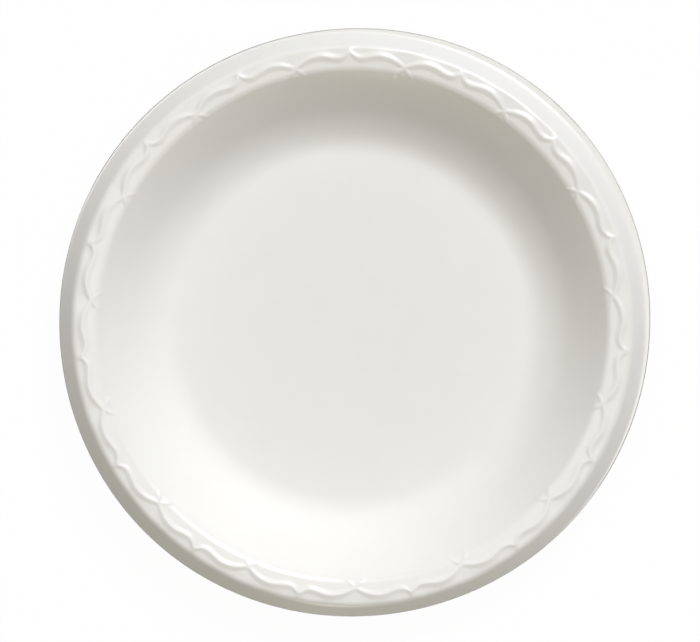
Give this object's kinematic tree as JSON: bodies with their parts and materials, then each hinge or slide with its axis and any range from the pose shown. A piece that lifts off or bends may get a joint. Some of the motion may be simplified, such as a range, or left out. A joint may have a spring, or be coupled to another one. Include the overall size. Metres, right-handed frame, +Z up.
{
  "type": "foam plate",
  "caption": "Round disposable foam dinner plate with a flat base, a curved sloping wall and a rolled rim with a raised border of bracket scallops.",
  "frame": {"origin": "middle of the cut outline, on the plane the plate rests on", "axes": "+Z up, out of the well; one outward cusp of the border points close to +Y (90.6 degrees from +X), and the flange is widest towards 54 degrees from +X"},
  "size_m": [0.225, 0.2239, 0.0223],
  "materials": {
    "foam": "satin skin on white polystyrene foam"
  },
  "bodies": {
    "root": {"foam_plate": "foam"}
  },
  "joints": []
}
